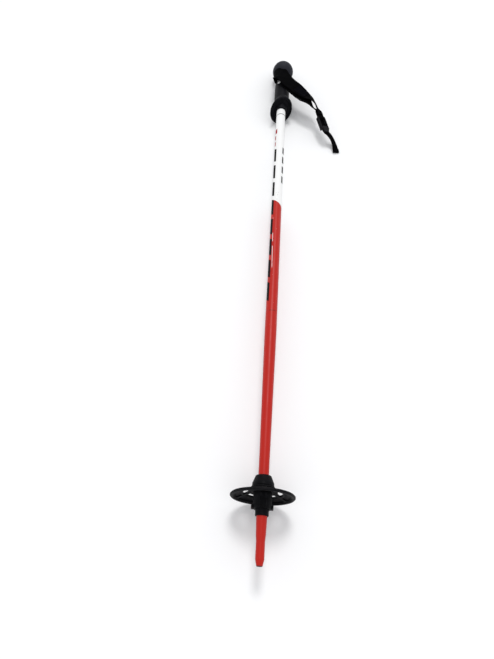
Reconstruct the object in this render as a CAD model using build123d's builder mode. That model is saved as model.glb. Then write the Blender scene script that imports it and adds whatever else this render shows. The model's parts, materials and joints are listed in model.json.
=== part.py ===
from build123d import *
from math import asin, atan, cos, degrees, hypot, radians, sin, sqrt
import os

# A junior alpine ski pole, 800 mm long. Every piece is modelled on the standing pole: +Z runs up the
# shaft from the tip end, -Y is the palm side of the grip, +Y the finger side. At the end the pole is
# laid on its basket and its ball head, palm side up, with the grip towards +Y.

# ---------------------------------------------------------------- driving dimensions, mm
pole_length = 800.0
tube_radius = 7.0
tube_wall = 1.2
lower_tube_radius = 5.35
tip_radius = 4.3
tip_end_radius = 3.0

ball_radius = 17.4
grip_radius = 11.7
neck_radius = 9.4
flange_bottom = 674.5
flange_rise_palm = 0.54
flange_rise_side = 0.375

basket_radius = 32.3
basket_plane = 62.5
hub_radius = 9.3
bearing_radius = 7.0
running_clearance = 0.06
axial_clearance = 0.3

webbing_thickness = 1.3
band_width = 24.0
narrow_width = 10.0

# ---------------------------------------------------------------- heights along the pole
tip_taper_top = 6.0
tip_barrel_top = 21.5
swage_top = 27.0
lower_tube_bottom = 43.0
upper_taper_bottom = 95.0
upper_taper_top = 248.0
tube_top = 734.5

ring_bottom = 44.0
hub_bottom = 50.5
hub_top = 71.3
sleeve_bottom = hub_bottom - axial_clearance
collar_bottom = hub_top + axial_clearance
collar_top = 82.6

ball_centre = pole_length - ball_radius
grip_shoulder = 742.0
neck_bottom = 743.5
notch_top = 769.5
neck_top = ball_centre - sqrt(ball_radius**2 - neck_radius**2)


def radial_plane(angle):
    """A plane through the pole's axis: local x points outwards at this angle, local y up the pole."""
    turn = radians(angle)
    return Plane(origin=(0, 0, 0), x_dir=(cos(turn), sin(turn), 0), z_dir=(sin(turn), -cos(turn), 0))


# ---------------------------------------------------------------- shaft
insert_radius = 2.0
insert_depth = 14.0

with BuildPart() as shaft_tube:
    with BuildSketch(Plane.XZ):
        with BuildLine():
            Polyline(
                (insert_radius, 0),
                (tip_end_radius - 0.3, 0),
                (tip_end_radius, 0.5),
                (tip_radius, tip_taper_top),
                (tip_radius, tip_barrel_top),
                (tip_radius + 0.5, swage_top),
                (lower_tube_radius, lower_tube_bottom),
                (lower_tube_radius, upper_taper_bottom),
                (tube_radius, upper_taper_top),
                (tube_radius, tube_top),
                (tube_radius - tube_wall, tube_top),
                (tube_radius - tube_wall, upper_taper_top),
                (lower_tube_radius - tube_wall, upper_taper_bottom),
                (lower_tube_radius - tube_wall, lower_tube_bottom),
                (insert_radius, insert_depth + 6),
                close=True,
            )
        make_face()
    revolve(axis=Axis.Z)

# Hardened insert that closes the swaged end, set back a little inside the tube.
insert_setback = 0.4
with BuildPart() as tip_insert:
    with BuildSketch(Plane.XY.offset(insert_setback)):
        Circle(insert_radius)
    extrude(amount=insert_depth - insert_setback)
    chamfer(tip_insert.edges().group_by(Axis.Z)[0], length=0.5)

# Plastic plug that closes the tube's top inside the grip.
plug_depth = 12.0
plug_head = 2.5
with BuildPart() as shaft_plug:
    with BuildSketch(Plane.XY.offset(tube_top - plug_depth)):
        Circle(tube_radius - tube_wall)
    extrude(amount=plug_depth)
    with BuildSketch(Plane.XY.offset(tube_top)):
        Circle(tube_radius)
    extrude(amount=plug_head)
    chamfer(shaft_plug.edges().group_by(Axis.Z)[0], length=1.0)

# ---------------------------------------------------------------- grip
cap_radius = 10.0
cap_seat = 795.0
cap_gap = 0.1
bar_radius = 1.5
bar_x = -7.5
bar_bottom = 739.5
bar_top = 789.0
notch_wall = -4.0

badge_length = 12.0
badge_height = 5.2
badge_z = 736.6
badge_turn = 253.0
badge_tilt = 20.0
badge_floor = grip_radius - 0.8
badge_face = grip_radius + 0.15
badge_lead = 20.0


def badge_outline(mode):
    """The badge's rounded outline, pushed inwards from outside the grip along its own radius."""
    facing = Vector(1, 0, 0).rotate(Axis.Z, badge_turn)
    seat = Plane(origin=facing * badge_lead + Vector(0, 0, badge_z), z_dir=-facing, x_dir=(0, 0, 1))
    with BuildSketch(seat) as outline:
        SlotOverall(badge_length, badge_height, rotation=90 - badge_tilt)
    extrude(outline.sketch, amount=badge_lead - grip_radius / 2, mode=mode)


def shell_ring(inner, outer, bottom, top):
    """A plain ring round the pole's axis."""
    with BuildSketch(Plane.XY.offset(bottom)) as ring:
        Circle(outer)
        Circle(inner, mode=Mode.SUBTRACT)
    extrude(ring.sketch, amount=top - bottom)


with BuildPart() as size_badge:
    shell_ring(badge_floor, badge_face, badge_z - badge_length / 2, badge_z + badge_length / 2)
    badge_outline(Mode.INTERSECT)

boss_radius = 9.3
boss_bottom = 670.3
barrel_bottom = 684.7
cup_depth = 2.0
cup_radius = 15.2
bell_profile = [
    (16.4, 0),
    (17.1, 0.3),
    (17.5, 1.0),
    (17.5, 2.3),
    (17.1, 3.2),
    (16.2, 4.4),
    (15.0, 6.5),
    (13.9, 9.5),
    (13.0, 13.5),
    (12.2, 17.5),
    (10.9, 22.0),
]

# The flange is oblique: its rim rises towards the palm side and towards +X. Every cut parallel to the
# rim is an ellipse that looks round along the pole.
rise = hypot(flange_rise_side, flange_rise_palm)
rim_normal = Vector(-flange_rise_side, flange_rise_palm, 1).normalized()
uphill = Vector(flange_rise_side, -flange_rise_palm, rise**2).normalized()


def rim_ellipse(radius, height):
    """A cut through the flange, this far above its rim along the pole."""
    plane = Plane(origin=(0, 0, flange_bottom + height), x_dir=uphill, z_dir=rim_normal)
    with BuildSketch(plane) as cut:
        Ellipse(radius / cos(atan(rise)), radius)
    return cut.sketch


with BuildPart() as oblique_bell:
    loft([rim_ellipse(radius, height) for radius, height in bell_profile], ruled=True)
    extrude(rim_ellipse(cup_radius, 0), amount=cup_depth * cos(atan(rise)), mode=Mode.SUBTRACT)

barrel_middle = 716.0
barrel_swell = 0.3
rib_count = 7
rib_pitch = 6.2
rib_first = 697.5
rib_proud = 1.1
rib_half_height = 1.7
rib_start = 20.0
rib_sweep = 140.0

with BuildPart() as grip_body:
    with BuildSketch(Plane.XZ):
        with BuildLine():
            Polyline(
                (0, boss_bottom),
                (boss_radius, boss_bottom),
                (boss_radius, barrel_bottom),
                (grip_radius, barrel_bottom),
            )
            Spline(
                (grip_radius, barrel_bottom),
                (grip_radius + barrel_swell, barrel_middle),
                (grip_radius, grip_shoulder - 1.5),
            )
            RadiusArc(
                (grip_radius, grip_shoulder - 1.5),
                (grip_radius - 1.5, grip_shoulder),
                -1.5,
            )
            Polyline(
                (grip_radius - 1.5, grip_shoulder),
                (neck_radius, neck_bottom - 0.5),
                (neck_radius, neck_top),
            )
            ThreePointArc(
                (neck_radius, neck_top),
                (ball_radius, ball_centre),
                (0, pole_length),
            )
            Line((0, pole_length), (0, boss_bottom))
        make_face()
    revolve(axis=Axis.Z)
    add(oblique_bell.part)
    for step in range(rib_count):
        with BuildSketch(radial_plane(rib_start)):
            with Locations((grip_radius, rib_first + step * rib_pitch)):
                Ellipse(rib_proud, rib_half_height)
        revolve(axis=Axis.Z, revolution_arc=rib_sweep)
    with BuildSketch(Plane.XY.offset(boss_bottom)):
        Circle(tube_radius)
    extrude(amount=tube_top + plug_head - boss_bottom, mode=Mode.SUBTRACT)
    with BuildSketch(Plane.XY.offset(neck_bottom)):
        with Locations((notch_wall, 0)):
            Rectangle(2 * ball_radius, 3 * ball_radius, align=(Align.MAX, Align.CENTER))
    extrude(amount=notch_top - neck_bottom, mode=Mode.SUBTRACT)
    with BuildSketch(Plane.XY.offset(bar_bottom)):
        with Locations((bar_x, 0)):
            Circle(bar_radius)
    extrude(amount=pole_length - bar_bottom, mode=Mode.SUBTRACT)
    with BuildSketch(Plane.XY.offset(cap_seat)):
        Circle(cap_radius)
    extrude(amount=pole_length - cap_seat, mode=Mode.SUBTRACT)
    add(size_badge.part, mode=Mode.SUBTRACT)

# Domed cap flush with the ball, with a stem that holds the strap bar down in its bore.
cap_edge = cap_radius - cap_gap
cap_edge_z = ball_centre + sqrt(ball_radius**2 - cap_edge**2)
with BuildPart() as grip_cap:
    with BuildSketch(Plane.XZ):
        with BuildLine():
            Polyline((0, pole_length), (0, cap_seat), (cap_edge, cap_seat), (cap_edge, cap_edge_z))
            ThreePointArc(
                (cap_edge, cap_edge_z),
                (ball_radius * sin(radians(18)), ball_centre + ball_radius * cos(radians(18))),
                (0, pole_length),
            )
        make_face()
    revolve(axis=Axis.Z)
    with BuildSketch(Plane.XY.offset(bar_top)):
        with Locations((bar_x, 0)):
            Circle(bar_radius)
    extrude(amount=cap_seat - bar_top)

# Steel bar that bridges the notch in the neck; the strap loops round it.
with BuildPart() as strap_bar:
    with BuildSketch(Plane.XY.offset(bar_bottom)):
        with Locations((bar_x, 0)):
            Circle(bar_radius)
    extrude(amount=bar_top - bar_bottom)
    chamfer(strap_bar.edges().group_by(Axis.Z)[0], length=0.4)

# ---------------------------------------------------------------- ferrule
with BuildPart() as retaining_ring:
    with BuildSketch(Plane.XZ):
        with BuildLine():
            Polyline(
                (lower_tube_radius, ring_bottom),
                (6.2, ring_bottom),
                (6.75, ring_bottom + 0.9),
                (6.6, sleeve_bottom - 1.6),
                (6.95, sleeve_bottom - 1.0),
                (6.95, sleeve_bottom),
                (lower_tube_radius, sleeve_bottom),
                close=True,
            )
        make_face()
    revolve(axis=Axis.Z)

with BuildPart() as ferrule_sleeve:
    shell_ring(lower_tube_radius, bearing_radius, sleeve_bottom, collar_bottom)

collar_base_radius = 11.2
collar_top_radius = 7.0
with BuildPart() as cone_collar:
    with BuildSketch(Plane.XZ) as collar_section:
        with BuildLine():
            Polyline(
                (lower_tube_radius, collar_bottom),
                (collar_base_radius, collar_bottom),
                (collar_base_radius - 0.2, collar_bottom + 3.4),
                (collar_top_radius + 0.9, collar_top),
                (lower_tube_radius, collar_top),
                close=True,
            )
        make_face()
        outside = collar_section.vertices().sort_by(Axis.X)[2:]
        fillet(outside, radius=0.9)
    revolve(axis=Axis.Z)

# ---------------------------------------------------------------- basket
web_seat = 66.4
seat_flange_radius = 12.4
seat_flange_bottom = 69.5
lug_height = 3.6
lug_reach = 10.9
lug_width = 6.5
panel_width = 7.0
panel_reach = 9.95

with BuildPart() as basket_hub:
    with BuildSketch(Plane.XZ):
        with BuildLine():
            Polyline(
                (bearing_radius + running_clearance, hub_bottom),
                (hub_radius - 0.6, hub_bottom),
                (hub_radius, hub_bottom + 0.6),
                (hub_radius, seat_flange_bottom),
                (seat_flange_radius - 0.5, seat_flange_bottom),
                (seat_flange_radius, seat_flange_bottom + 0.5),
                (seat_flange_radius, hub_top - 0.4),
                (seat_flange_radius - 0.4, hub_top),
                (bearing_radius + running_clearance, hub_top),
                close=True,
            )
        make_face()
    revolve(axis=Axis.Z)
    with BuildSketch(Plane.XY.offset(hub_bottom)) as lugs:
        Rectangle(2 * lug_reach, lug_width)
        fillet(lugs.vertices(), radius=1.6)
        Circle(hub_radius - 0.5, mode=Mode.SUBTRACT)
    extrude(amount=lug_height)
    with BuildSketch(Plane.XY.offset(hub_bottom + 1.0)) as panels:
        Rectangle(panel_width, 2 * panel_reach)
        fillet(panels.vertices(), radius=0.8)
        Circle(hub_radius - 0.5, mode=Mode.SUBTRACT)
    extrude(amount=web_seat - hub_bottom - 2.0)

rim_width = 3.6
rim_thickness = 2.9
rim_bottom = basket_plane - rim_thickness / 2
rim_top = basket_plane + rim_thickness / 2
web_outer_radius = basket_radius - rim_width
mid_ring_inner = 20.0
mid_ring_outer = 21.8
window_inner = 14.8
window_outer = web_outer_radius - 0.6
window_count = 6
strut_width = 3.4


def window_ring(inner, outer, corner):
    """One ring of windows between the struts, as a solid that passes straight through the dished web."""
    with BuildPart() as ring:
        with BuildSketch(Plane.XY.offset(rim_bottom - 1)) as windows:
            Circle(outer)
            Circle(inner, mode=Mode.SUBTRACT)
            with PolarLocations(0, window_count, start_angle=180 / window_count):
                Rectangle(
                    2 * basket_radius, strut_width, align=(Align.MIN, Align.CENTER), mode=Mode.SUBTRACT
                )
            fillet(windows.vertices(), radius=corner)
        extrude(windows.sketch, amount=seat_flange_bottom - rim_bottom + 2)
    return ring.part


# The outer windows are blind pockets in the face towards the tip.
pocket_depth = 1.1
with BuildPart() as pockets:
    add(window_ring(mid_ring_outer, window_outer, 1.4))
    with BuildSketch(Plane.XZ):
        Polygon(
            (seat_flange_radius, rim_bottom - 2),
            (web_outer_radius, rim_bottom - 2),
            (web_outer_radius, basket_plane - 0.3 + pocket_depth),
            (seat_flange_radius, web_seat + 0.9 + pocket_depth),
            align=None,
        )
    revolve(axis=Axis.Z, mode=Mode.INTERSECT)

with BuildPart() as basket_disc:
    with BuildSketch(Plane.XZ):
        with BuildLine():
            Polyline(
                (hub_radius, web_seat),
                (seat_flange_radius - 1.0, web_seat),
                (seat_flange_radius, web_seat + 0.9),
                (web_outer_radius, basket_plane - 0.3),
                (web_outer_radius + 0.4, rim_bottom + 0.3),
                (web_outer_radius + 0.9, rim_bottom),
                (basket_radius - 0.9, rim_bottom),
                (basket_radius, rim_bottom + 0.9),
                (basket_radius, rim_top - 0.9),
                (basket_radius - 0.9, rim_top),
                (web_outer_radius + 0.4, rim_top),
                (seat_flange_radius, seat_flange_bottom),
                (hub_radius, seat_flange_bottom),
                close=True,
            )
        make_face()
    revolve(axis=Axis.Z)
    add(window_ring(window_inner, mid_ring_inner, 0.8), mode=Mode.SUBTRACT)
    add(pockets.part, mode=Mode.SUBTRACT)

# ---------------------------------------------------------------- strap
def ribbon(stations, thickness, lift=0.0):
    """Flat webbing lofted through cross sections.

    A station is the section's centre (x, y, z), its width, how far in degrees the width direction leans
    sideways from the pole's axis, and how far it then rolls about the webbing's own direction. The whole
    ribbon can be lifted off those centres.
    """
    centres = [Vector(*station[0]) for station in stations]
    sections = []
    for index, (_, width, lean, roll) in enumerate(stations):
        ahead = centres[min(index + 1, len(centres) - 1)]
        behind = centres[max(index - 1, 0)]
        along = (ahead - behind).normalized()
        across = rolled(along, lean, roll)
        with BuildSketch(Plane(origin=centres[index], x_dir=across, z_dir=along)) as section:
            with Locations((0, lift)):
                Rectangle(width, thickness)
        sections.append(section.sketch)
    loft(sections, ruled=True)


def rolled(along, lean, roll):
    """The width direction of webbing that runs this way."""
    across = Vector(sin(radians(lean)), 0, cos(radians(lean)))
    across = (across - along * across.dot(along)).normalized()
    return across * cos(radians(roll)) + along.cross(across) * sin(radians(roll))


loop_radius = bar_radius + 0.3 + webbing_thickness / 2
loop_z = (neck_bottom + notch_top) / 2
loop_steps = 6
loop_turn = [
    (
        (
            bar_x - loop_radius * cos(radians(180 * step / loop_steps)),
            loop_radius * sin(radians(180 * step / loop_steps)),
            loop_z,
        ),
        band_width,
        0,
        0,
    )
    for step in range(1, loop_steps)
]

# The narrow webbing runs straight through the buckle. Its frame: local x across the webbing, local y
# back up the strap towards the hand loop, local z away from the floor.
run_start = Vector(59.2, -3.2, 674)
run_end = Vector(71.0, 2.8, 636)
run_lean = 72.0
run_roll = 18.0
buckle_along_run = 27.0
run_along = (run_end - run_start).normalized()
run_across = rolled(run_along, run_lean, -run_roll)
buckle_plane = Plane(
    origin=run_start + run_along * buckle_along_run, x_dir=run_across, z_dir=run_along.cross(run_across)
)


def on_run(x, y, z):
    """A point given in the buckle's frame."""
    return tuple(buckle_plane.from_local_coords((x, y, z)))


# The band's outer layer bulges left of the neck, slants over it and runs down towards the buckle. It
# stands on edge just before the buckle, where a gap opens between the two layers.
outer_end_lift = 4.6
outer_layer = [
    (on_run(-0.8, 16.0, outer_end_lift + 0.2), 9, run_lean, run_roll),
    (on_run(-1.6, 22.0, outer_end_lift + 0.9), 9, run_lean - 2, run_roll + 8),
    ((57.6, -7.4, 679.0), 10, 60, 52),
    ((55.6, -7.4, 685.3), 12, 50, 56),
    ((52.0, -8.0, 692.0), 16, 45, 42),
    ((46.6, -9.3, 697.6), 20, 44, 26),
    ((39.6, -11.0, 702.8), 22, 44, 15),
    ((31.5, -12.9, 708.5), 23, 44, 5),
    ((23.0, -14.6, 716.0), 24, 44, 0),
    ((14.0, -16.0, 724.0), 24, 42, 0),
    ((6.0, -16.9, 733.0), 24, 36, 0),
    ((-0.5, -17.0, 742.5), 24, 25, 0),
    ((-6.8, -15.9, 750.5), 24, 12, 0),
    ((-12.2, -12.4, 755.8), 24, 2, 0),
    ((-14.6, -7.6, loop_z), 24, 0, 0),
    ((-12.6, -3.4, loop_z), 24, 0, 0),
    ((bar_x - loop_radius, 0, loop_z), 24, 0, 0),
]

# The inner layer comes up between the bar and the neck, lies under the outer one and ends on the
# narrow webbing, where the two are sewn together.
inner_end_lift = webbing_thickness + 0.3
inner_layer = [
    ((bar_x + loop_radius, 0, loop_z), 24, 0, 0),
    ((-5.3, -4.6, loop_z), 24, 0, 0),
    ((-5.9, -9.2, loop_z), 24, 0, 0),
    ((-3.6, -12.6, 754.5), 24, 5, 0),
    ((1.2, -14.1, 746.0), 24, 19, 0),
    ((6.8, -14.2, 735.5), 24, 31, 0),
    ((12.6, -13.5, 724.5), 24, 38, 0),
    ((19.5, -12.4, 714.5), 24, 40, 0),
    ((28.5, -10.7, 706.0), 24, 39, 0),
    ((37.2, -8.9, 697.3), 23, 40, -6),
    ((43.4, -7.5, 690.0), 20, 43, -24),
    ((48.4, -5.8, 684.2), 15, 48, -40),
    ((52.2, -4.7, 679.8), 12, 55, -44),
    (on_run(-2.2, 28.3, inner_end_lift + 0.6), 10, 68, -26),
    (on_run(-0.4, 23.8, inner_end_lift), 10, run_lean, -run_roll),
]

with BuildPart() as wrist_band:
    ribbon(outer_layer + loop_turn + inner_layer, webbing_thickness)

# Reinforcing patch sewn on the outer layer where the wide band starts to narrow.
patch_thickness = 0.5
patch_lift = (webbing_thickness + patch_thickness) / 2 + 0.1
with BuildPart() as band_patch:
    ribbon(
        [(centre, 17, lean, roll) for centre, _, lean, roll in outer_layer[6:9]], patch_thickness, -patch_lift
    )

# Narrow webbing: sewn under the inner layer's end, straight through the buckle, free end on the floor.
with BuildPart() as tail_webbing:
    ribbon(
        [
            (on_run(0, 26.5, 0), narrow_width, run_lean, -run_roll),
            (tuple(run_end), narrow_width, run_lean, -run_roll),
            ((74.4, 4.6, 633.6), narrow_width, 70, -22),
            ((78.7, 7.0, 631.0), narrow_width, 66, -26),
            ((82.9, 10.4, 627.6), narrow_width, 62, -26),
            ((86.5, 14.2, 622.6), narrow_width, 62, -24),
            ((89.0, 17.3, 616.5), narrow_width, 66, -16),
            ((90.3, 19.0, 610.5), narrow_width, 72, -8),
            ((90.7, 19.7, 606.0), narrow_width, 76, -3),
        ],
        webbing_thickness - 0.1,
    )

# ---------------------------------------------------------------- ladder buckle
buckle_length = 26.0
rail_width = 1.5
rail_spacing = 12.0
rail_bottom = -2.4
rail_height = 5.8
end_bar_bottom = 0.95
loop_bar_bottom = 1.95
loop_bar_width = 2.6
loop_bar_y = buckle_length / 2 - 1.8
bar_depth = 1.45
grip_bar_width = 3.2


def buckle_bar(y, width, bottom, depth):
    """One bar from rail to rail."""
    with BuildSketch(buckle_plane.offset(bottom)) as bar:
        with Locations((0, y)):
            Rectangle(rail_spacing, width)
    extrude(bar.sketch, amount=depth)


with BuildPart() as ladder_buckle:
    with BuildSketch(buckle_plane.offset(rail_bottom)) as rails:
        with Locations((-rail_spacing / 2, 0), (rail_spacing / 2, 0)):
            RectangleRounded(rail_width, buckle_length, 0.7)
    extrude(amount=rail_height)
    buckle_bar(loop_bar_y, loop_bar_width, loop_bar_bottom, bar_depth)
    buckle_bar(0, grip_bar_width, rail_bottom, bar_depth)
    end_bar_depth = rail_height + rail_bottom - end_bar_bottom
    buckle_bar(1.6 - buckle_length / 2, grip_bar_width, end_bar_bottom, end_bar_depth)
    with BuildSketch(buckle_plane.offset(end_bar_bottom + 0.8)) as thumb_lip:
        with Locations((0, -buckle_length / 2)):
            RectangleRounded(9.5, 11, 2.0)
    extrude(amount=2.2)

# Short webbing that loops round the buckle's upper bar and is sewn under the outer layer's end.
tab_thickness = 0.9
tab_gap = 0.15
tab_run = 8.8
tab_width = 9.6
with BuildPart() as buckle_webbing:
    loop_height = bar_depth + 2 * (tab_gap + tab_thickness)
    loop_centre_z = loop_bar_bottom + bar_depth / 2
    side = Plane(
        origin=buckle_plane.from_local_coords((-tab_width / 2, loop_bar_y, loop_centre_z)),
        x_dir=-run_along,
        z_dir=run_across,
    )
    with BuildSketch(side):
        RectangleRounded(loop_bar_width + 2 * (tab_gap + tab_thickness), loop_height, 1.2)
        with Locations((loop_bar_width / 2 + tab_gap, 0)):
            Rectangle(tab_run, 2 * tab_thickness - 0.4, align=(Align.MIN, Align.CENTER))
        Rectangle(loop_bar_width + 2 * tab_gap, bar_depth + 2 * tab_gap, mode=Mode.SUBTRACT)
    extrude(amount=tab_width)

# ---------------------------------------------------------------- placing and writing
pieces = {
    "shaft_tube": shaft_tube,
    "tip_insert": tip_insert,
    "shaft_plug": shaft_plug,
    "grip_body": grip_body,
    "grip_cap": grip_cap,
    "size_badge": size_badge,
    "strap_bar": strap_bar,
    "retaining_ring": retaining_ring,
    "ferrule_sleeve": ferrule_sleeve,
    "cone_collar": cone_collar,
    "basket_hub": basket_hub,
    "basket_disc": basket_disc,
    "wrist_band": wrist_band,
    "band_patch": band_patch,
    "tail_webbing": tail_webbing,
    "ladder_buckle": ladder_buckle,
    "buckle_webbing": buckle_webbing,
}

rest_tilt = asin((basket_radius - ball_radius) / (ball_centre - basket_plane))
standing_to_lying = Rotation(-90 - degrees(rest_tilt), 0, 0)
# The basket turns freely on its sleeve. Lying, it has come to rest turned by this much.
basket_rest_turn = 1.37
turned = {"basket_hub": basket_rest_turn, "basket_disc": basket_rest_turn}
laid = {
    name: piece.part.rotate(Axis.Z, turned.get(name, 0)).moved(standing_to_lying)
    for name, piece in pieces.items()
}
box = Compound(list(laid.values())).bounding_box()
to_origin = Location((-box.center().X, -box.center().Y, -box.min.Z))

os.makedirs("parts", exist_ok=True)
for name, piece in laid.items():
    placed = piece.moved(to_origin)
    placed.label = name
    export_step(placed, f"parts/{name}.step")
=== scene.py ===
"""Looks for the ski pole: its paint, plastics, steel, webbing and stitching, and a plain studio."""

import bpy
import json
import math
import numpy as np
from mathutils import Matrix, Vector


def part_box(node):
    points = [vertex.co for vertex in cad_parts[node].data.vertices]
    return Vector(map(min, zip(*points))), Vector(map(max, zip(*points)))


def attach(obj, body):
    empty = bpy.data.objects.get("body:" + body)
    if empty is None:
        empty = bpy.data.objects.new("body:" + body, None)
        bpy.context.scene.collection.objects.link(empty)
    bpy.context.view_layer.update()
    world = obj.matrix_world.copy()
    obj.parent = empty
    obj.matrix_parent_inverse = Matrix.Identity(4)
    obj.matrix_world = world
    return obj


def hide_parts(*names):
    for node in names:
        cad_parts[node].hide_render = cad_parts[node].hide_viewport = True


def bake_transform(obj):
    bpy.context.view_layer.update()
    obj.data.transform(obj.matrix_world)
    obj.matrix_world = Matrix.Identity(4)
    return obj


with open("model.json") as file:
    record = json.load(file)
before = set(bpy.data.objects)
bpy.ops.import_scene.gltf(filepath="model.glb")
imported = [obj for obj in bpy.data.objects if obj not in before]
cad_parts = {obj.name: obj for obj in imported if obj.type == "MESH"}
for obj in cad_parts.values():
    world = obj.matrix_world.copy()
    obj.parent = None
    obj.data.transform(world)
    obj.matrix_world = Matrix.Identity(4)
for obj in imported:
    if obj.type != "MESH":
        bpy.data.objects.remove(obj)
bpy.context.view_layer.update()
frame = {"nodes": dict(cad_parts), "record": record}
nodes = frame["nodes"]

# ---------------------------------------------------------------- the pole's own frame
# Lengths in this file are millimetres on the standing pole, as in the CAD: x across, y towards the
# finger side, z up from the tip end. at() turns them into metres in the row frame.
MM = 0.001
BALL_RADIUS, BALL_Z = 17.4, 782.6
BASKET_RADIUS, BASKET_Z = 32.3, 62.5
TIP_END_RADIUS = 2.7
TILT = math.asin((BASKET_RADIUS - BALL_RADIUS) / (BALL_Z - BASKET_Z))

tube_low, tube_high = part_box("shaft_tube")
ORIGIN = Vector(
    (
        (tube_low.x + tube_high.x) / 2,
        tube_low.y + TIP_END_RADIUS * MM * math.sin(TILT),
        (BALL_RADIUS + BALL_Z * math.sin(TILT)) * MM,
    )
)
ACROSS = Vector((1, 0, 0))
FINGER = Vector((0, -math.sin(TILT), -math.cos(TILT)))
UP = Vector((0, math.cos(TILT), -math.sin(TILT)))


def at(point):
    """From millimetres on the standing pole to metres in the row frame."""
    x, y, z = point
    return ORIGIN + (ACROSS * x + FINGER * y + UP * z) * MM


# ---------------------------------------------------------------- node helpers
class Shader:
    """A material's node tree, built by calls."""

    def __init__(self, name):
        self.material = bpy.data.materials.new(name)
        self.material.use_nodes = True
        self.tree = self.material.node_tree
        self.tree.nodes.clear()
        out = self.tree.nodes.new("ShaderNodeOutputMaterial")
        self.bsdf = self.tree.nodes.new("ShaderNodeBsdfPrincipled")
        self.tree.links.new(self.bsdf.outputs["BSDF"], out.inputs["Surface"])

    def set(self, node, socket, value):
        """Links a socket to another node's output or gives it a plain value; None leaves it alone."""
        if isinstance(value, bpy.types.NodeSocket):
            self.tree.links.new(value, node.inputs[socket])
        elif value is not None:
            node.inputs[socket].default_value = value

    def surface(self, **values):
        for name, value in values.items():
            self.set(self.bsdf, name.replace("_", " "), value)

    def node(self, kind, inputs=(), output=0, **settings):
        made = self.tree.nodes.new("ShaderNode" + kind)
        for name, value in settings.items():
            setattr(made, name, value)
        for socket, value in dict(inputs).items():
            self.set(made, socket, value)
        return made.outputs[output]

    def math(self, operation, a, b=None, c=None):
        return self.node("Math", {0: a, 1: b, 2: c}, operation=operation)

    def times(self, a, b):
        return self.math("MULTIPLY", a, b)

    def step(self, value, low, high):
        """0 below low, 1 above high, smooth between. With low above high it falls instead."""
        return self.node(
            "MapRange",
            {"Value": value, "From Min": low, "From Max": high},
            interpolation_type="SMOOTHSTEP",
        )

    def band(self, value, span, soft):
        """1 inside the span and 0 outside, with edges that reach this far to either side."""
        low, high = span
        rise = self.step(value, low - soft, low + soft)
        fall = self.step(value, high - soft, high + soft)
        return self.math("SUBTRACT", rise, fall)

    def noise(self, vector, scale, detail=3.0, roughness=0.5):
        inputs = {"Vector": vector, "Scale": scale, "Detail": detail, "Roughness": roughness}
        return self.node("TexNoise", inputs)

    def spread(self, noise, low, high):
        """Noise mostly lies between 0.3 and 0.7; this puts it between low and high."""
        inputs = {"Value": noise, "From Min": 0.3, "From Max": 0.7, "To Min": low, "To Max": high}
        return self.node("MapRange", inputs)

    def mix(self, factor, a, b):
        made = self.tree.nodes.new("ShaderNodeMix")
        made.data_type = "RGBA"
        for socket, value in ((0, factor), (6, a), (7, b)):
            self.set(made, socket, value)
        return made.outputs[2]

    def bump(self, height, depth, strength):
        return self.node("Bump", {"Height": height, "Distance": depth * MM, "Strength": strength})

    def pole_coordinates(self):
        """Height up the pole in mm, turn round it in degrees (0 palm side, 90 at +x), and the point in mm."""
        place = self.node("TexCoord", output="Object")
        offset = self.node("VectorMath", {0: place, 1: ORIGIN}, operation="SUBTRACT")
        offset = self.node("VectorMath", {0: offset, "Scale": 1 / MM}, operation="SCALE")
        parts = [
            self.node("VectorMath", {0: offset, 1: axis}, "Value", operation="DOT_PRODUCT")
            for axis in (ACROSS, FINGER, UP)
        ]
        palm = self.times(parts[1], -1.0)
        turn = self.times(self.math("ARCTAN2", parts[0], palm), 180 / math.pi)
        point = self.node("CombineXYZ", {0: parts[0], 1: parts[1], 2: parts[2]})
        return parts[2], turn, point


def colour(red, green, blue):
    return (red, green, blue, 1.0)


# ---------------------------------------------------------------- painted shaft
# Heights are in mm up the pole and turns in degrees round it, 0 on the palm side and 90 at +x.
WHITE_PAINT = colour(0.80, 0.80, 0.79)
RED_PAINT = colour(0.42, 0.010, 0.004)
RED_INK = colour(0.30, 0.004, 0.008)
BLACK_PAINT = colour(0.004, 0.004, 0.005)
WORN_END = colour(0.16, 0.012, 0.010)
GREY_SPECK = colour(0.38, 0.38, 0.38)
BARE_END = colour(0.05, 0.05, 0.05)

# The red starts at this height on the palm side, and its edge falls by this much per degree.
EDGE_HEIGHT, EDGE_FALL = 461.0, 0.0935
EDGE_WOBBLE, EDGE_BLUR = 0.6, 0.15

# The first bar's top, at a turn of -90 degrees. The bars slant by this much per degree.
BAR_TOP, BAR_SLANT = 577.7, 0.10
BAR_PITCH, BAR_COUNT = 36.0, 8
BAR_SPAN, BAR_BLUR = (0.2, 28.0), 0.15
BAR_TURNS = (-122.0, -38.0)

# Each set of dashes: their heights, their turns and their ink.
DASHES = (
    (((564.0, 578.0), (543.0, 557.0), (522.0, 536.0), (501.0, 515.0)), (42.0, 74.0), BLACK_PAINT),
    (((610.0, 621.0),), (-78.0, -42.0), RED_INK),
    (((596.0, 606.0), (582.0, 592.0)), (-90.0, -58.0), RED_INK),
)
DASH_BLUR, TURN_BLUR = 0.3, 1.0

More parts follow.
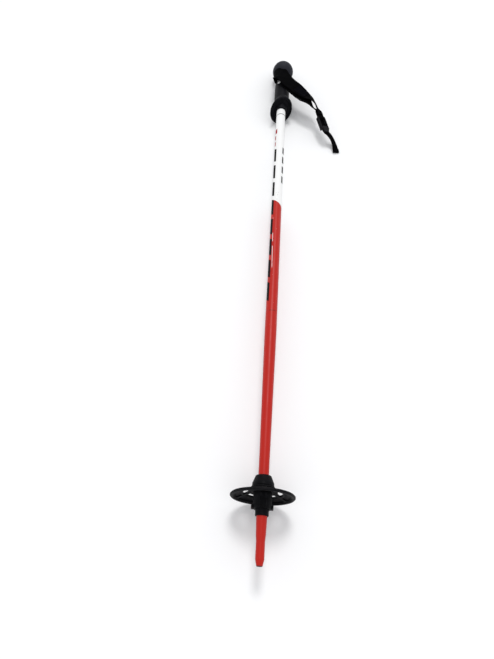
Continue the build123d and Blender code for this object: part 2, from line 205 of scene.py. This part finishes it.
# Each mark's heights and turns, and how strongly it covers the paint.
LINE_HEIGHTS, LINE_STRENGTH = (655.8, 657.3), 0.9
SPECK_HEIGHTS, SPECK_TURNS = (464.0, 486.0), (-25.0, 25.0)
SCRATCH_HEIGHTS, SCRATCH_TURNS = (345.0, 430.0), (-38.5, -33.5)
SCRATCH_SLOPE = 0.17  # degrees that the scratch turns per mm down the tube
SCUFF_HEIGHTS, SCUFF_TURNS, SCUFF_STRENGTH = (320.0, 341.0), (-60.0, -30.0), 0.8
SCUFF_DRIFT = 30.0  # degrees that its sides wander
NICK_HEIGHTS, NICK_TURNS, NICK_STRENGTH = (278.5, 279.3), (-30.0, 45.0), 0.7
NO_CHIPS_ABOVE, ALL_CHIPS_BELOW = 500.0, 380.0
WORN_BELOW = 0.9
BARE_BELOW = 0.06


def two_tone(m, height, turn, wobble):
    """White above a slanting edge, red below it."""
    edge = m.math("MULTIPLY_ADD", turn, -EDGE_FALL, EDGE_HEIGHT)
    edge = m.math("ADD", edge, m.times(wobble, EDGE_WOBBLE))
    white = m.step(m.math("SUBTRACT", height, edge), -EDGE_BLUR, EDGE_BLUR)
    return m.mix(m.math("SUBTRACT", 1.0, white), WHITE_PAINT, RED_PAINT)


def printed(m, height, turn, paint):
    """Slanted black bars up the left side, even dashes up the right, and short red ones above the bars."""
    below_top = m.math("SUBTRACT", BAR_TOP, m.math("MULTIPLY_ADD", turn, BAR_SLANT, height))
    below_top = m.math("SUBTRACT", below_top, 90.0 * BAR_SLANT)
    bars = m.band(m.math("MODULO", below_top, BAR_PITCH), BAR_SPAN, BAR_BLUR)
    bars = m.times(bars, m.band(below_top, (0.0, BAR_PITCH * BAR_COUNT), BAR_BLUR))
    inked = m.times(bars, m.band(turn, BAR_TURNS, TURN_BLUR))
    paint = m.mix(inked, paint, BLACK_PAINT)
    for spans, turns, ink in DASHES:
        side = m.band(turn, turns, TURN_BLUR)
        for span in spans:
            dash = m.times(side, m.band(height, span, DASH_BLUR))
            paint = m.mix(dash, paint, ink)
            inked = m.math("MAXIMUM", inked, dash)
    return paint, inked


def marked(m, height, turn, point, paint):
    """A dark line round the tube near its top, and grey specks just above the red edge."""
    line = m.band(height, LINE_HEIGHTS, soft=0.2)
    paint = m.mix(m.times(line, LINE_STRENGTH), paint, BLACK_PAINT)
    specks = m.step(m.noise(point, 0.8, roughness=0.6), 0.60, 0.66)
    specks = m.times(specks, m.band(height, SPECK_HEIGHTS, soft=2.0))
    return m.mix(m.times(specks, m.band(turn, SPECK_TURNS, soft=6.0)), paint, GREY_SPECK)


def scraped(m, height, turn, point, paint):
    """A long broken pale scratch, a dark scuff and a thin nick."""
    path = m.math("SUBTRACT", turn, SCRATCH_SLOPE * SCRATCH_HEIGHTS[1])
    path = m.math("MULTIPLY_ADD", height, SCRATCH_SLOPE, path)
    scratch = m.times(m.band(path, SCRATCH_TURNS, soft=1.0), m.band(height, SCRATCH_HEIGHTS, soft=3.0))
    broken = m.step(m.noise(point, 0.08, detail=2.0), 0.36, 0.44)
    paint = m.mix(m.times(scratch, broken), paint, WHITE_PAINT)

    drift = m.math("SUBTRACT", m.noise(point, 0.05, detail=2.0), 0.5)
    drift = m.math("MULTIPLY_ADD", drift, SCUFF_DRIFT, turn)
    scuff = m.times(m.band(drift, SCUFF_TURNS, soft=6.0), m.band(height, SCUFF_HEIGHTS, soft=3.0))
    scuff = m.times(scuff, m.step(m.noise(point, 0.9, detail=5.0, roughness=0.7), 0.52, 0.60))
    paint = m.mix(m.times(scuff, SCUFF_STRENGTH), paint, BLACK_PAINT)

    nick = m.times(m.band(height, NICK_HEIGHTS, soft=0.15), m.band(turn, NICK_TURNS, soft=4.0))
    return m.mix(m.times(nick, NICK_STRENGTH), paint, BLACK_PAINT)


def chipped(m, height, point, wobble, paint):
    """Small chips that grow common towards the tip, and a rubbed low end, bare where the tube is cut."""
    chips = m.step(m.noise(point, 0.55, detail=5.0, roughness=0.65), 0.735, 0.75)
    chips = m.times(chips, m.step(height, NO_CHIPS_ABOVE, ALL_CHIPS_BELOW))
    paint = m.mix(chips, paint, WHITE_PAINT)
    worn = m.step(m.math("MULTIPLY_ADD", wobble, 1.2, height), WORN_BELOW, WORN_BELOW / 3)
    paint = m.mix(worn, paint, WORN_END)
    return m.mix(m.step(height, BARE_BELOW, BARE_BELOW / 3), paint, BARE_END)


def shaft_paint():
    m = Shader("shaft_paint")
    height, turn, point = m.pole_coordinates()
    wobble = m.math("SUBTRACT", m.noise(point, 0.35), 0.5)
    paint = two_tone(m, height, turn, wobble)
    paint, inked = printed(m, height, turn, paint)
    paint = marked(m, height, turn, point, paint)
    paint = scraped(m, height, turn, point, paint)
    paint = chipped(m, height, point, wobble, paint)

    rough = m.spread(m.noise(point, 0.08, detail=4.0), 0.34, 0.46)
    peel = m.bump(m.noise(point, 1.4, detail=2.0), depth=0.02, strength=0.5)
    ink_is_dull = m.math("MULTIPLY_ADD", inked, -0.18, 0.20)
    m.surface(Base_Color=paint, Roughness=rough, Normal=peel)
    m.surface(Specular_IOR_Level=ink_is_dull, Coat_Weight=0.03, Coat_Roughness=0.2)
    return m.material


# ---------------------------------------------------------------- plastics and metals
BLACK = colour(0.0022, 0.0022, 0.0030)
DUST = colour(0.06, 0.06, 0.06)
# The paler, bluer tone that the grip takes on its ball head.
BALL_TONE = colour(0.021, 0.022, 0.028)
BALL_TONE_BLUR = 4.0

# Each plastic: its dark and pale tones, roughness from and to, grain and gloss. The grip's tone turns
# paler and bluer on the ball head, above the height that comes last.
PLASTICS = {
    "grip_plastic": (BLACK, colour(0.0065, 0.0065, 0.0090), (0.44, 0.58), 0.35, 0.06, 766.0),
    "cap_plastic": (colour(0.015, 0.016, 0.020), colour(0.022, 0.023, 0.028), (0.50, 0.62), 0.4, 0.10),
    "plug_plastic": (colour(0.25, 0.25, 0.25), colour(0.32, 0.32, 0.32), (0.5, 0.6), 0.3, 0.22),
    "badge_plastic": (colour(0.74, 0.74, 0.73), colour(0.80, 0.80, 0.79), (0.3, 0.4), 0.1, 0.3),
    "ferrule_plastic": (BLACK, colour(0.0045, 0.0045, 0.0058), (0.42, 0.56), 0.35, 0.06),
    "basket_plastic": (
        colour(0.0020, 0.0020, 0.0026), colour(0.0060, 0.0060, 0.0075), (0.45, 0.6), 0.45, 0.07
    ),
    "buckle_plastic": (BLACK, colour(0.007, 0.007, 0.009), (0.50, 0.62), 0.25, 0.10),
}

# Each steel: its tone and roughness.
STEELS = {
    "tip_steel": (colour(0.10, 0.10, 0.11), 0.45),
    "bar_steel": (colour(0.62, 0.62, 0.62), 0.25),
}


def plastic(name, dark, pale, rough, grain, gloss, ball_above=None):
    """Moulded plastic: a fine grain, rubbed patches and dust."""
    m = Shader(name)
    height, _, point = m.pole_coordinates()
    rubbed = m.noise(point, 0.16, detail=5.0, roughness=0.6)
    tone = m.mix(m.step(rubbed, 0.35, 0.70), dark, pale)
    specks = m.step(m.noise(point, 2.2, roughness=0.7), 0.70, 0.76)
    tone = m.mix(m.times(specks, 0.10), tone, DUST)
    # On the ball head, above this height, the tone turns paler and bluer.
    if ball_above:
        ball_paler = m.step(height, ball_above - BALL_TONE_BLUR, ball_above + BALL_TONE_BLUR)
        tone = m.mix(ball_paler, tone, BALL_TONE)
    roughness = m.spread(m.noise(point, 0.5, detail=5.0), *rough)
    surface = m.bump(m.noise(point, 3.2), depth=0.06, strength=grain)
    m.surface(Base_Color=tone, Roughness=roughness, Normal=surface, Specular_IOR_Level=gloss)
    return m.material


def brushed(name, tone, rough):
    """Steel with fine rings round the pole, as turning leaves them."""
    m = Shader(name)
    _, _, point = m.pole_coordinates()
    stretched = m.node("VectorMath", {0: point, 1: (1.0, 1.0, 8.0)}, operation="MULTIPLY")
    streaks = m.noise(stretched, 1.5, detail=4.0)
    dark = colour(*(0.75 * c for c in tone[:3]))
    dull = m.mix(m.step(streaks, 0.3, 0.7), tone, dark)
    grooves = m.bump(streaks, depth=0.02, strength=0.5)
    m.surface(Base_Color=dull, Roughness=rough, Metallic=1.0, Normal=grooves)
    return m.material


finishes = {"shaft_paint": shaft_paint()}
for name, values in PLASTICS.items():
    finishes[name] = plastic(name, *values)
for name, values in STEELS.items():
    finishes[name] = brushed(name, *values)
node_slots = {row["node"]: row["material_slot"] for row in frame["record"]["subparts"]}


def round_edges(obj, width):
    """Softens the sharp edges of a CAD node with modifiers, which leave its own mesh alone."""
    weld = obj.modifiers.new("weld", "WELD")
    weld.merge_threshold = 0.005 * MM
    bevel = obj.modifiers.new("edges", "BEVEL")
    bevel.width = width * MM
    bevel.segments = 2
    bevel.limit_method = "ANGLE"
    bevel.angle_limit = math.radians(35)
    bevel.harden_normals = True


for name, obj in nodes.items():
    slot = node_slots[name]
    if slot in finishes:
        obj.data.materials.clear()
        obj.data.materials.append(finishes[slot])

# ---------------------------------------------------------------- webbing
WEBBING_THICKNESS = 1.3
BAND_WIDTH, NARROW_WIDTH, BAND_END_WIDTH = 24, 10, 9
RUN_START, RUN_END = Vector((59.2, -3.2, 674.0)), Vector((71.0, 2.8, 636.0))
RUN_LEAN, RUN_ROLL = 72.0, 18.0
BUCKLE_ALONG_RUN = 27.0
RUN_ALONG = (RUN_END - RUN_START).normalized()


def rolled(along, lean, roll):
    """The width direction of webbing that runs this way: leant sideways, then rolled about its run."""
    across = Vector((math.sin(math.radians(lean)), 0, math.cos(math.radians(lean))))
    across = (across - along * across.dot(along)).normalized()
    return across * math.cos(math.radians(roll)) + along.cross(across) * math.sin(math.radians(roll))


RUN_ACROSS = rolled(RUN_ALONG, RUN_LEAN, -RUN_ROLL)
BUCKLE = RUN_START + RUN_ALONG * BUCKLE_ALONG_RUN


def on_run(x, y, z):
    """A point in the buckle's frame: across the webbing, back up the strap, away from the floor."""
    return BUCKLE + RUN_ACROSS * x - RUN_ALONG * y + RUN_ALONG.cross(RUN_ACROSS) * z


# The band turns round the strap bar here.
LOOP_X, LOOP_Z, LOOP_RADIUS = -7.5, 756.5, 2.45


def loop_station(angle):
    """A station on the half circle round the strap bar."""
    x = LOOP_X - LOOP_RADIUS * math.cos(angle)
    y = LOOP_RADIUS * math.sin(angle)
    return (x, y, LOOP_Z), BAND_WIDTH, 0, 0


# Each station: centre, width, lean, roll.
outer_layer = [
    (on_run(-0.8, 16.0, 4.8), BAND_END_WIDTH, RUN_LEAN, RUN_ROLL),
    (on_run(-1.6, 22.0, 5.5), BAND_END_WIDTH, RUN_LEAN - 2, RUN_ROLL + 8),
    ((57.6, -7.4, 679.0), NARROW_WIDTH, 60, 52),
    ((55.6, -7.4, 685.3), 12, 50, 56),
    ((52.0, -8.0, 692.0), 16, 45, 42),
    ((46.6, -9.3, 697.6), 20, 44, 26),
    ((39.6, -11.0, 702.8), 22, 44, 15),
    ((31.5, -12.9, 708.5), 23, 44, 5),
    ((23.0, -14.6, 716.0), BAND_WIDTH, 44, 0),
    ((14.0, -16.0, 724.0), BAND_WIDTH, 42, 0),
    ((6.0, -16.9, 733.0), BAND_WIDTH, 36, 0),
    ((-0.5, -17.0, 742.5), BAND_WIDTH, 25, 0),
    ((-6.8, -15.9, 750.5), BAND_WIDTH, 12, 0),
    ((-12.2, -12.4, 755.8), BAND_WIDTH, 2, 0),
    ((-14.6, -7.6, LOOP_Z), BAND_WIDTH, 0, 0),
    ((-12.6, -3.4, LOOP_Z), BAND_WIDTH, 0, 0),
    ((LOOP_X - LOOP_RADIUS, 0, LOOP_Z), BAND_WIDTH, 0, 0),
]
loop_turn = [loop_station(math.radians(angle)) for angle in (30, 60, 90, 120, 150)]
inner_layer = [
    ((LOOP_X + LOOP_RADIUS, 0, LOOP_Z), BAND_WIDTH, 0, 0),
    ((-5.3, -4.6, LOOP_Z), BAND_WIDTH, 0, 0),
    ((-5.9, -9.2, LOOP_Z), BAND_WIDTH, 0, 0),
    ((-3.6, -12.6, 754.5), BAND_WIDTH, 5, 0),
    ((1.2, -14.1, 746.0), BAND_WIDTH, 19, 0),
    ((6.8, -14.2, 735.5), BAND_WIDTH, 31, 0),
    ((12.6, -13.5, 724.5), BAND_WIDTH, 38, 0),
    ((19.5, -12.4, 714.5), BAND_WIDTH, 40, 0),
    ((28.5, -10.7, 706.0), BAND_WIDTH, 39, 0),
    ((37.2, -8.9, 697.3), 23, 40, -6),
    ((43.4, -7.5, 690.0), 20, 43, -24),
    ((48.4, -5.8, 684.2), 15, 48, -40),
    ((52.2, -4.7, 679.8), 12, 55, -44),
    (on_run(-2.2, 28.3, 2.2), NARROW_WIDTH, 68, -26),
    (on_run(-0.4, 23.8, 1.6), NARROW_WIDTH, RUN_LEAN, -RUN_ROLL),
]
tail_layer = [
    (on_run(0, 26.5, 0), NARROW_WIDTH, RUN_LEAN, -RUN_ROLL),
    (RUN_END, NARROW_WIDTH, RUN_LEAN, -RUN_ROLL),
    ((74.4, 4.6, 633.6), NARROW_WIDTH, 70, -22),
    ((78.7, 7.0, 631.0), NARROW_WIDTH, 66, -26),
    ((82.9, 10.4, 627.6), NARROW_WIDTH, 62, -26),
    ((86.5, 14.2, 622.6), NARROW_WIDTH, 62, -24),
    ((89.0, 17.3, 616.5), NARROW_WIDTH, 66, -16),
    ((90.3, 19.0, 610.5), NARROW_WIDTH, 72, -8),
    ((90.7, 19.7, 606.0), NARROW_WIDTH, 76, -3),
]


def smooth_path(points, spacing, steps=24):
    """Centripetal Catmull-Rom through the points, sampled evenly; also each sample's place among them."""
    p = [Vector(q) for q in points]
    p = [p[0] * 2 - p[1]] + p + [p[-1] * 2 - p[-2]]
    fine, where = [], []
    for i in range(1, len(p) - 2):
        a, b, c, d = p[i - 1 : i + 3]
        t = [0.0]
        for q, r in ((a, b), (b, c), (c, d)):
            t.append(t[-1] + max((r - q).length, 1e-6) ** 0.5)
        for k in range(steps):
            u = t[1] + (t[2] - t[1]) * k / steps
            ab = a.lerp(b, (u - t[0]) / (t[1] - t[0]))
            bc = b.lerp(c, (u - t[1]) / (t[2] - t[1]))
            cd = c.lerp(d, (u - t[2]) / (t[3] - t[2]))
            abc = ab.lerp(bc, (u - t[0]) / (t[2] - t[0]))
            bcd = bc.lerp(cd, (u - t[1]) / (t[3] - t[1]))
            fine.append(abc.lerp(bcd, (u - t[1]) / (t[2] - t[1])))
            where.append(i - 1 + k / steps)
    fine.append(p[-2])
    where.append(len(p) - 3)
    fine = np.array([tuple(v) for v in fine])
    walked = np.concatenate([[0], np.cumsum(np.linalg.norm(np.diff(fine, axis=0), axis=1))])
    count = max(2, int(round(walked[-1] / spacing)) + 1)
    stops = np.linspace(0, walked[-1], count)
    places = np.stack([np.interp(stops, walked, fine[:, k]) for k in range(3)], axis=1)
    return places, np.interp(stops, walked, where), stops


def tube_faces(rings, corners, first=0):
    """The faces of a tube whose rings of corners are numbered from first."""
    faces = []
    for i in range(rings - 1):
        for k in range(corners):
            a = first + i * corners + k
            b = first + i * corners + (k + 1) % corners
            faces.append((a, b, b + corners, a + corners))
    return faces


def build_mesh(name, verts, faces, uvs=None):
    """A new object, smooth but for faces of more than four corners, which close the ends of webbing."""
    data = bpy.data.meshes.new(name)
    data.from_pydata([tuple(v) for v in verts], [], faces)
    data.update()
    if uvs:
        layer = data.uv_layers.new(name="weave")
        for loop in data.loops:
            layer.data[loop.index].uv = uvs[loop.vertex_index]
    data.polygons.foreach_set("use_smooth", [len(face) <= 4 for face in faces])
    obj = bpy.data.objects.new(name, data)
    bpy.context.scene.collection.objects.link(obj)
    return obj


def wander(walked):
    """Two waves of unlike length, by which a used selvedge strays."""
    return 0.18 * math.sin(walked * 0.9) + 0.12 * math.sin(walked * 2.3 + 1.0)


class Ribbon:
    """Flat webbing: a path with a width direction and a thickness at each sample."""

    def __init__(self, stations, thickness, spacing=0.8, across=None):
        self.thickness = thickness
        self.centre, where, self.walked = smooth_path([s[0] for s in stations], spacing)
        index = np.arange(len(stations))
        self.width = np.interp(where, index, [s[1] for s in stations])
        lean = np.interp(where, index, [s[2] for s in stations])
        roll = np.interp(where, index, [s[3] for s in stations])
        along = np.gradient(self.centre, axis=0)
        along /= np.linalg.norm(along, axis=1)[:, None]
        if across is None:
            rows = [tuple(rolled(Vector(d), a, b)) for d, a, b in zip(along, lean, roll)]
        else:
            rows = [tuple(across)] * len(along)
        self.across = np.array(rows)
        self.normal = np.cross(along, self.across)

    def point(self, walked, u, lift):
        """A point at this distance along, u mm from the middle, lifted off the middle surface."""
        centre, across, normal = (
            np.array([np.interp(walked, self.walked, rows[:, k]) for k in range(3)])
            for rows in (self.centre, self.across, self.normal)
        )
        return centre + across * u + normal * lift

    def section(self, width, columns):
        """The outline of one cross section: flat faces, rounded selvedges."""
        half = self.thickness / 2
        inner = width / 2 - half
        flat = np.linspace(-inner, inner, columns)
        turn = np.radians(np.array([60, 30, 0, -30, -60]))
        right = [(inner + half * math.cos(t), half * math.sin(t)) for t in turn]
        left = [(-inner - half * math.cos(t), half * math.sin(t)) for t in turn[::-1]]
        return [(u, half) for u in flat] + right + [(u, -half) for u in flat[::-1]] + left

    def mesh(self, name, columns, raised=0.0, ripple=0.0, start=0.0):
        """The webbing from start to its end. With ripple, its selvedges wander and its faces wave."""
        verts, uvs = [], []
        rows = [i for i in range(len(self.centre)) if self.walked[i] >= start]
        for i in rows:
            walked = self.walked[i]
            for u, n in self.section(self.width[i] + ripple * wander(walked), columns):
                wave = 0.25 * math.sin(walked * 0.35 + u * 0.3)
                lift = n + raised + ripple * wave
                verts.append(at(self.centre[i] + self.across[i] * u + self.normal[i] * lift))
                uvs.append((u, walked))
        ring = len(verts) // len(rows)
        faces = tube_faces(len(rows), ring)
        faces.append(tuple(reversed(range(ring))))
        faces.append(tuple(range(len(verts) - ring, len(verts))))
        return build_mesh(name, verts, faces, uvs)


def webbing(name, tone, pale, rib, pick):
    """Woven webbing: warp ribs crossed by weft picks, in the mesh's own millimetres, with some fuzz."""
    m = Shader(name)
    uv = m.node("UVMap", uv_map="weave")
    across = m.node("SeparateXYZ", {0: uv})
    along = m.node("SeparateXYZ", {0: uv}, output=1)
    warp = m.math("SINE", m.times(across, math.pi / rib))
    weft = m.math("SINE", m.times(along, math.pi / pick))
    weave = m.times(warp, weft)
    fuzz = m.noise(uv, 2.5, detail=4.0, roughness=0.7)
    height = m.math("MULTIPLY_ADD", fuzz, 0.5, weave)
    faded = m.math("MULTIPLY_ADD", m.noise(uv, 0.12), 1.2, m.times(weave, 0.25))
    tone = m.mix(m.step(faded, 0.3, 1.0), tone, pale)
    relief = m.bump(height, depth=0.16, strength=0.8)
    m.surface(Base_Color=tone, Normal=relief, Roughness=0.9, Specular_IOR_Level=0.02)
    return m.material


band_cloth = webbing(
    "band_webbing", colour(0.0010, 0.0010, 0.0013), colour(0.0026, 0.0026, 0.0031), rib=1.1, pick=0.75
)
thread_cloth = webbing(
    "thread", colour(0.006, 0.006, 0.007), colour(0.012, 0.012, 0.014), rib=0.3, pick=0.4
)
patch_cloth = webbing(
    "patch_vinyl", colour(0.0015, 0.0015, 0.0028), colour(0.0028, 0.0028, 0.0048), rib=0.5, pick=0.5
)


def dress(obj, material, node=None):
    """Gives a piece its material, and hides the CAD node that it stands in for."""
    obj.data.materials.append(material)
    if node:
        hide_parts(node)


band = Ribbon(outer_layer + loop_turn + inner_layer, WEBBING_THICKNESS)
band_mesh = band.mesh("wrist_band_webbing", columns=14, ripple=0.4)
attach(band_mesh, "strap")
dress(band_mesh, band_cloth, "wrist_band")

# The coated patch follows the outer layer's visible face.
PATCH_WIDTH = 17
patch_stations = [(centre, PATCH_WIDTH, lean, roll) for centre, _, lean, roll in outer_layer[6:9]]
patch = Ribbon(patch_stations, 0.5)
patch_mesh = patch.mesh("coated_patch", columns=12, raised=-1.0)
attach(patch_mesh, "strap")
dress(patch_mesh, patch_cloth, "band_patch")

TAIL_THICKNESS = WEBBING_THICKNESS - 0.1
tail = Ribbon(tail_layer, TAIL_THICKNESS)
tail_mesh = tail.mesh("tail_webbing_strip", columns=10)
dress(tail_mesh, band_cloth, "tail_webbing")
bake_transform(tail_mesh)

# The tail's end is folded back on itself and sewn.
HEM_LENGTH, HEM_RAISED = 7.0, 1.0
hem_mesh = tail.mesh("tail_hem", columns=10, raised=HEM_RAISED, start=tail.walked[-1] - HEM_LENGTH)
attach(hem_mesh, "tail")
dress(hem_mesh, band_cloth)

# The buckle's tab: narrow webbing round the loop bar, its two ends sewn together above it.
TAB_WIDTH, TAB_THICKNESS = 9.5, 0.85
TAB_PATH = (
    (21.3, 2.22), (18.0, 2.20), (14.6, 2.15), (12.7, 1.62), (11.2, 1.36), (9.75, 1.72), (9.32, 2.68),
    (9.75, 3.63), (11.2, 3.99), (12.7, 3.72), (14.6, 3.20), (18.0, 3.14), (21.3, 3.12),
)
tab_stations = [(on_run(0, y, z), TAB_WIDTH, 0, 0) for y, z in TAB_PATH]
tab = Ribbon(tab_stations, TAB_THICKNESS, spacing=0.4, across=RUN_ACROSS)
tab_mesh = tab.mesh("buckle_tab_webbing", columns=10)
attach(tab_mesh, "strap")
dress(tab_mesh, band_cloth, "buckle_webbing")


# ---------------------------------------------------------------- stitching
STITCH_PITCH = 2.3
STITCH_GAP = 0.14  # share of the pitch left free at each end of a stitch
STITCH_RINGS = 5
THREAD_HALF, THREAD_RISE, THREAD_SINK = 0.17, 0.15, 0.05


def stitch_corners(ribbon, start, end, side, face):
    """One stitch from start to end, both (walked, u): a thread that swells in its middle."""
    corners = []
    for i, (walked, u) in enumerate(np.linspace(start, end, STITCH_RINGS)):
        swell = math.sin(math.pi * (i + 0.4) / (STITCH_RINGS - 0.2))
        low, high = -THREAD_SINK, THREAD_RISE * swell
        for out, up in ((-THREAD_HALF, low), (0, high), (THREAD_HALF, low), (0, low)):
            half = out * swell
            lift = face * (ribbon.thickness / 2 + up)
            corners.append(at(ribbon.point(walked + side[0] * half, u + side[1] * half, lift)))
    return corners


def stitches(name, ribbon, seams, face, body):
    """Rows of thread: each seam is a list of (walked, u) corners, sewn on one face of the webbing."""
    verts, faces = [], []
    for seam in seams:
        for start, end in zip(np.array(seam[:-1]), np.array(seam[1:])):
            way = end - start
            length = math.hypot(*way)
            side = (-way[1] / length, way[0] / length)
            count = max(1, int(length / STITCH_PITCH))
            for k in range(count):
                low, high = (k + STITCH_GAP) / count, (k + 1 - STITCH_GAP) / count
                corners = stitch_corners(ribbon, start + way * low, start + way * high, side, face)
                faces += tube_faces(STITCH_RINGS, 4, first=len(verts))
                verts += corners
    made = build_mesh(name, verts, faces)
    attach(made, body)
    dress(made, thread_cloth)


def box_and_cross(low, high, half):
    """The usual box of stitches with both its diagonals."""
    outline = [(low, -half), (high, -half), (high, half), (low, half), (low, -half), (high, half)]
    return [outline, [(low, half), (high, -half)]]


def box(low, high, half):
    return [[(low, -half), (high, -half), (high, half), (low, half), (low, -half)]]


full = band.walked[-1]
stitches("end_stitching", band, box_and_cross(1.0, 7.0, 3.4), -1, "strap")
stitches("join_stitching", band, box_and_cross(full - 5.0, full - 0.8, 3.6), 1, "strap")
patch_face = Ribbon(patch_stations, 2.5)
stitches("patch_stitching", patch_face, box(0.9, patch.walked[-1] - 0.9, 7.4), -1, "strap")
hem_face = Ribbon(tail_layer, 2 * HEM_RAISED + TAIL_THICKNESS)
hem_row = hem_face.walked[-1] - 5.9
stitches("hem_stitching", hem_face, [[(hem_row, -4.0), (hem_row, 4.0)]], 1, "tail")

round_edges(nodes["ladder_buckle"], 0.35)
round_edges(nodes["basket_hub"], 0.25)

# ---------------------------------------------------------------- floor, light, camera
FLOOR_HALF = 6
FLOOR_GREY = colour(0.86, 0.86, 0.86)
SKY_TINT, SKY_STRENGTH = colour(0.97, 0.98, 1.0), 0.92
KEY_HEIGHT, KEY_SPREAD, KEY_STRENGTH = math.radians(58), math.radians(16), 1.15
CAMERA_PLACE = Vector((ORIGIN.x - 0.0258, -0.4479, 0.5378))
CAMERA_LOOK = Vector((-0.0035, 0.5089, -0.8608)).normalized()
CAMERA_UP = Vector((-0.0746, 0.8583, 0.5077))
LENS, SENSOR_WIDTH = 27.4, 36.0

floor_corners = [(FLOOR_HALF * x, FLOOR_HALF * y, 0) for x, y in ((-1, -1), (1, -1), (1, 1), (-1, 1))]
floor = build_mesh("studio_floor", floor_corners, [(0, 1, 2, 3)])
floor_finish = Shader("studio_floor")
floor_finish.surface(Base_Color=FLOOR_GREY, Roughness=0.7, Specular_IOR_Level=0.2)
floor.data.materials.append(floor_finish.material)

world = bpy.data.worlds.new("studio")
bpy.context.scene.world = world
world.use_nodes = True
sky = world.node_tree.nodes["Background"]
sky.inputs["Color"].default_value = SKY_TINT
sky.inputs["Strength"].default_value = SKY_STRENGTH

# The key light comes from beyond the grip.
key_data = bpy.data.lights.new("key", "SUN")
key_data.angle = KEY_SPREAD
key_data.energy = KEY_STRENGTH
key = bpy.data.objects.new("key", key_data)
comes_from = Vector((0, math.cos(KEY_HEIGHT), math.sin(KEY_HEIGHT)))
key.rotation_euler = (-comes_from).to_track_quat("-Z", "Y").to_euler()
bpy.context.scene.collection.objects.link(key)

camera_data = bpy.data.cameras.new("camera")
camera_data.lens = LENS
camera_data.sensor_width = SENSOR_WIDTH
camera_data.clip_start = 0.01
camera = bpy.data.objects.new("camera", camera_data)
right = CAMERA_LOOK.cross(CAMERA_UP).normalized()
upright = right.cross(CAMERA_LOOK)
camera.matrix_world = Matrix((right, upright, -CAMERA_LOOK)).transposed().to_4x4()
camera.location = CAMERA_PLACE
bpy.context.scene.collection.objects.link(camera)
bpy.context.scene.camera = camera
bpy.context.scene.view_settings.view_transform = "Standard"
